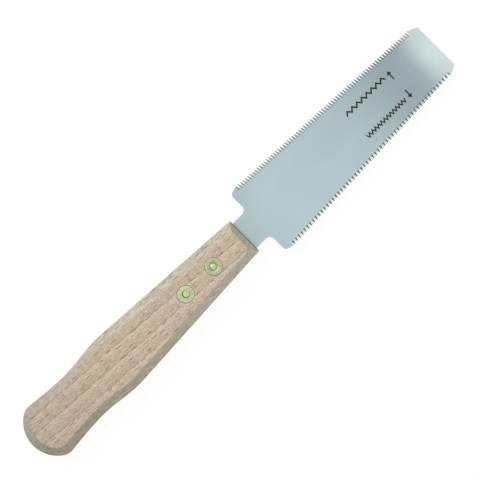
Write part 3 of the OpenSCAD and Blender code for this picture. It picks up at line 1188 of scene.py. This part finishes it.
@dataclass
class UseMark:
    """Printed mark by one toothed edge: a line of teeth like that edge's, and an arrow that points to it."""

    edge: ToothedEdge
    corner: Vector
    teeth: int
    line: float
    row_y: Pair
    arrow_y: Pair
    row_x: Pair = (66.2 * MM, 92.0 * MM)
    arrow_x: float = 94.9 * MM
    arrow_w: float = 2.6 * MM
    arrow_head: float = 2.0 * MM
    stroke: float = 0.65 * MM
    ink_t: float = 0.02 * MM

    def point(self, x: float, y: float) -> Vector:
        """Gives a point of the print, measured from the shoulder and the middle of the blade."""
        return self.corner + Vector((x, y, 0))

    def row(self) -> Workpiece:
        """Draws the row of teeth as one line that goes up and down.

        Returns:
            The row.
        """
        side = self.edge.value
        base, tips = self.row_y
        first, last = self.row_x
        front = base + side * self.line
        half_pitch = (last - first) / self.teeth / 2
        start = self.point(first, min(base, front))
        stop = self.point(last, max(base, front))
        piece = Workpiece.between(f"tooth_mark_{self.edge.name.lower()}", start, stop)
        with piece.edit():
            for step in range(1, 2 * self.teeth):
                bpy.ops.mesh.select_all(action="SELECT")
                bpy.ops.mesh.bisect(plane_co=(start.x + step * half_pitch, 0, 0), plane_no=(1, 0, 0))
            piece.pick(Element.VERT, lambda vert: round((vert.co.x - start.x) / half_pitch) % 2 == 1)
            bpy.ops.transform.translate(value=(0, tips - front, 0))
            self.thicken(piece)
        return piece

    def arrow(self) -> Workpiece:
        """Draws the arrow.

        Returns:
            The arrow.
        """
        side = self.edge.value
        tail, tip = self.arrow_y
        neck = tip - side * self.arrow_head
        half = self.stroke / 2
        low = self.point(self.arrow_x - half, min(tail, neck))
        high = self.point(self.arrow_x + half, max(tail, neck))
        centre = self.point(self.arrow_x, neck)
        piece = Workpiece.between(f"arrow_mark_{self.edge.name.lower()}", low, high)
        with piece.edit():
            piece.pick(Element.VERT, lambda vert: abs(vert.co.y - neck) < piece.same_place)
            piece.extrude((0, side * half / 2, 0))
            piece.resize((self.arrow_w / self.stroke, 1, 1), tuple(centre))
            piece.extrude((0, side * (self.arrow_head - half / 2), 0))
            bpy.ops.mesh.merge(type="CENTER")
            self.thicken(piece)
        return piece

    def thicken(self, piece: Workpiece) -> None:
        """Gives an open flat mark the thickness of the ink.

        Args:
            piece: The open mark.
        """
        bpy.ops.mesh.select_all(action="SELECT")
        piece.extrude((0, 0, self.ink_t))
        bpy.ops.mesh.select_all(action="SELECT")
        bpy.ops.mesh.normals_make_consistent(inside=False)

    def build(self, ink: bpy.types.Material) -> None:
        """Draws and fits the row and the arrow.

        Args:
            ink: Their finish.
        """
        for piece in (self.row(), self.arrow()):
            piece.fit(ink, None)


@dataclass
class Blade:
    """Sheet-steel blade with two toothed edges, and the printed marks on it."""

    node: str = "blade"
    neck_len: float = 9.1 * MM
    teeth_from: float = 4.4 * MM
    nose_bevel: float = 4.8 * MM
    toe_w: float = 29.6 * MM
    coarse_depth: float = 2.4 * MM
    coarse_pitch: float = 1.5 * MM
    coarse_lean: float = math.radians(13)
    coarse_close_in: float = 0.27 * MM
    coarse_fill: float = 0.1 * MM
    fine_depth: float = 2.1 * MM
    fine_pitch: float = 1.0 * MM
    fine_lean: float = math.radians(3)
    fine_close_in: float = 0.15 * MM
    fine_fill: float = 0.3 * MM
    fine_slant: float = 0.06 * MM
    fine_grind: float = 1.3 * MM

    def __post_init__(self) -> None:
        """Takes the place of the blade from the frame, and draws the lines of its tooth points."""
        self.low, self.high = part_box(self.node)
        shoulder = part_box("handle")[1].x + self.neck_len
        start = Vector((shoulder + self.teeth_from, self.high.y, 0))
        end = Vector((self.high.x - self.nose_bevel, self.toe_w / 2, 0))
        self.corner = Vector((shoulder, 0, self.high.z))
        self.coarse = ToothLine(ToothedEdge.COARSE, start, end, self.coarse_depth, self.coarse_pitch,
                                self.coarse_lean, self.coarse_close_in, self.coarse_fill)
        self.fine = ToothLine(ToothedEdge.FINE, start, end, self.fine_depth, self.fine_pitch,
                              self.fine_lean, self.fine_close_in, self.fine_fill,
                              self.fine_slant, self.fine_grind)

    def file_teeth(self, piece: Workpiece, line: ToothLine) -> None:
        """Files the teeth of one edge to their last shape.

        Args:
            piece: Copy of the blade.
            line: The toothed edge.
        """
        middle = (self.low.z + self.high.z) / 2
        filed = {index: line.filed(vert.co, middle) for index, vert in enumerate(piece.obj.data.vertices)}
        with piece.edit():
            for step in sorted(set(filed.values()) - {(0, 0)}):
                piece.pick(Element.VERT, lambda vert: filed[vert.index] == step)
                bpy.ops.transform.translate(value=line.move(*step))

    def build(self, frame: dict, steel: SatinSteel, ink: PrintedInk) -> None:
        """Builds and fits the blade, and prints its marks.

        Args:
            frame: The loaded frame.
            steel: Finish of the blade.
            ink: Finish of the marks.
        """
        piece = Workpiece.copy_of("steel_blade", frame["nodes"][self.node])
        self.file_teeth(piece, self.coarse)
        self.file_teeth(piece, self.fine)
        piece.fit(steel.material(self.coarse, self.fine), Slot.STEEL, self.node)
        coarse_mark = UseMark(
            ToothedEdge.COARSE,
            self.corner,
            teeth=8,
            line=1.2 * MM,
            row_y=(5.2 * MM, 8.3 * MM),
            arrow_y=(2.9 * MM, 8.0 * MM),
        )
        fine_mark = UseMark(
            ToothedEdge.FINE,
            self.corner,
            teeth=13,
            line=1.3 * MM,
            row_y=(-6.3 * MM, -9.4 * MM),
            arrow_y=(-4.3 * MM, -9.4 * MM),
        )
        printed = ink.material()
        coarse_mark.build(printed)
        fine_mark.build(printed)


@dataclass
class Studio:
    """Pale floor, soft light, a reflector for the steel and the camera that looks straight down on the saw.

    Places on the reflector are in millimetres.
    """

    floor_size: float = 6
    floor_colour: Colour = (0.86, 0.86, 0.86)
    floor_glow: float = 0.90
    floor_white: float = 1.03
    sky: float = 0.68
    key_at: Vector = field(default_factory=lambda: Vector((-0.12, 0.65, 1.02)))
    key_size: float = 0.7
    key_power: float = 6.5
    camera_at: Vector = field(default_factory=lambda: Vector((3.54 * MM, 0.15 * MM, 1.289)))
    camera_turn: float = math.radians(-44.764)
    lens_mm: float = 200
    sensor_mm: float = 36
    card_height: float = 0.04
    card_size: Vector = field(default_factory=lambda: Vector((0.7, 0.5, 0)))
    card_reach: float = 160
    card_folds: float = 5
    card_fold_cell: Cell = (20, 12, 1)
    card_width: Pair = (-25, 25)
    card_sides: Pair = (1.03, 0.94)
    card_tip: Pair = (118, 130)
    card_tip_band: Pair = (9, 1)
    card_tip_glow: float = 0.14
    card_levels: tuple[tuple[float, Colour], ...] = (
        (9, (0.85, 0.85, 0.85)),
        (30, (0.97, 0.97, 0.97)),
        (60, (0.93, 0.93, 0.93)),
        (85, (0.87, 0.87, 0.87)),
        (100, (0.76, 0.76, 0.77)),
        (112, (0.62, 0.62, 0.64)),
        (125, (0.60, 0.60, 0.62)),
        (132.5, (1.275, 1.16, 1.14)),
    )

    def light_room(self) -> None:
        """Lights the room evenly, and shows it white."""
        world = bpy.data.worlds.new("white_room")
        world.use_nodes = True
        bpy.context.scene.world = world
        sketch = Sketch(world.node_tree)
        white = (1, 1, 1, 1)
        lights = sketch.add("Background", {"Color": white, "Strength": self.sky})
        shows = sketch.add("Background", {"Color": white, "Strength": 1})
        mix = sketch.add("MixShader", {0: sketch.seen(), 1: lights.outputs[0], 2: shows.outputs[0]})
        sketch.add("OutputWorld", {"Surface": mix.outputs[0]})

    def hang_key(self) -> None:
        """Hangs the soft lamp on the side of the coarse teeth."""
        bpy.ops.object.light_add(type="AREA", location=self.key_at)
        lamp = bpy.context.active_object
        lamp.name = "key_lamp"
        lamp.rotation_euler = (-self.key_at).to_track_quat("-Z", "Y").to_euler()
        lamp.data.shape = "SQUARE"
        lamp.data.size = self.key_size
        lamp.data.energy = self.key_power

    def lay_floor(self) -> None:
        """Lays the pale floor that the saw lies on, which keeps a faint shadow."""
        half = Vector((self.floor_size, self.floor_size, 0)) / 2
        floor = Workpiece.between("floor", -half, half).obj
        material, sketch = Sketch.of_material("pale_floor")
        paint = sketch.add("BsdfDiffuse", {"Color": (*self.floor_colour, 1)})
        glow = sketch.add("Emission", {"Color": (1, 1, 1, 1), "Strength": self.floor_white})
        share = sketch.maths("MULTIPLY", sketch.seen(), self.floor_glow)
        mix = sketch.add("MixShader", {0: share, 1: paint.outputs[0], 2: glow.outputs[0]})
        sketch.add("OutputMaterial", {"Surface": mix.outputs[0]})
        floor.data.materials.append(material)

    def hang_card(self) -> None:
        """Hangs the reflector that the steel mirrors, brighter and darker along the blade."""
        middle, half = Vector((0, 0, self.card_height)), self.card_size / 2
        card = Workpiece.between("reflector", middle - half, middle + half).obj
        material, sketch = Sketch.of_material("reflector_cloth")
        place = sketch.place_in_mm()
        along, across, _ = sketch.axes(place)
        folds = sketch.noise(place, self.card_fold_cell, 2)
        folded = sketch.maths("MULTIPLY_ADD", folds, self.card_folds, along)
        reach = sketch.add("MapRange", {"Value": folded, "From Min": 0.0, "From Max": self.card_reach})
        ramp = sketch.add("ValToRGB", {0: reach.outputs[0]})
        while len(ramp.color_ramp.elements) < len(self.card_levels):
            ramp.color_ramp.elements.new(0.5)
        for element, (place_mm, colour) in zip(ramp.color_ramp.elements, self.card_levels):
            element.position = (place_mm + self.card_folds / 2) / self.card_reach
            element.color = (*colour, 1)
        sideways = sketch.rise(across, *self.card_width, *self.card_sides)
        tip = sketch.rise(sketch.maths("ABSOLUTE", across), *self.card_tip_band, 0, self.card_tip_glow)
        level = sketch.maths("MULTIPLY_ADD", tip, sketch.rise(along, *self.card_tip), sideways)
        glow = sketch.add("Emission", {"Color": ramp.outputs[0], "Strength": level})
        sketch.add("OutputMaterial", {"Surface": glow.outputs[0]})
        card.data.materials.append(material)
        card.visible_camera = False
        card.visible_diffuse = False
        card.visible_transmission = False
        card.visible_shadow = False

    def place_camera(self) -> None:
        """Places the camera above the saw, turned so that the saw runs from lower left to upper right."""
        bpy.ops.object.camera_add(location=self.camera_at, rotation=(0, 0, self.camera_turn))
        camera = bpy.context.active_object
        camera.data.lens = self.lens_mm
        camera.data.sensor_width = self.sensor_mm
        bpy.context.scene.camera = camera

    def build(self) -> None:
        """Sets up the room, the floor, the lamp, the reflector and the camera."""
        bpy.context.scene.view_settings.view_transform = "Standard"
        self.place_camera()
        self.light_room()
        self.lay_floor()
        self.hang_key()
        self.hang_card()
        LOG.info("studio: floor, key lamp, reflector and camera")


def main() -> None:
    """Builds the studio and the saw round the frame."""
    logging.basicConfig(level=logging.INFO, format="%(name)s: %(message)s")
    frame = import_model()
    Studio().build()
    front_brass = PaleBrass(ring=(0.465, 0.50, 0.29), disc=(0.535, 0.62, 0.37))
    rear_brass = PaleBrass(ring=(0.54, 0.595, 0.37), disc=(0.545, 0.635, 0.38), groove_painted_shade=(0.85, 0.90, 0.80))
    rivets = [
        Rivet("front", front_brass, tip_shift=(-0.1 * MM, -0.1 * MM), sink=0.8 * MM),
        Rivet("rear", rear_brass, tip_shift=(0.3 * MM, 0), sink=0.04 * MM, taper=0.3 * MM,
              taper_depth=0.5 * MM),
    ]
    Handle(rivets).build(Beech())
    Blade().build(frame, SatinSteel(), PrintedInk())
    for rivet in rivets:
        rivet.build()


if __name__ == "__main__":
    main()
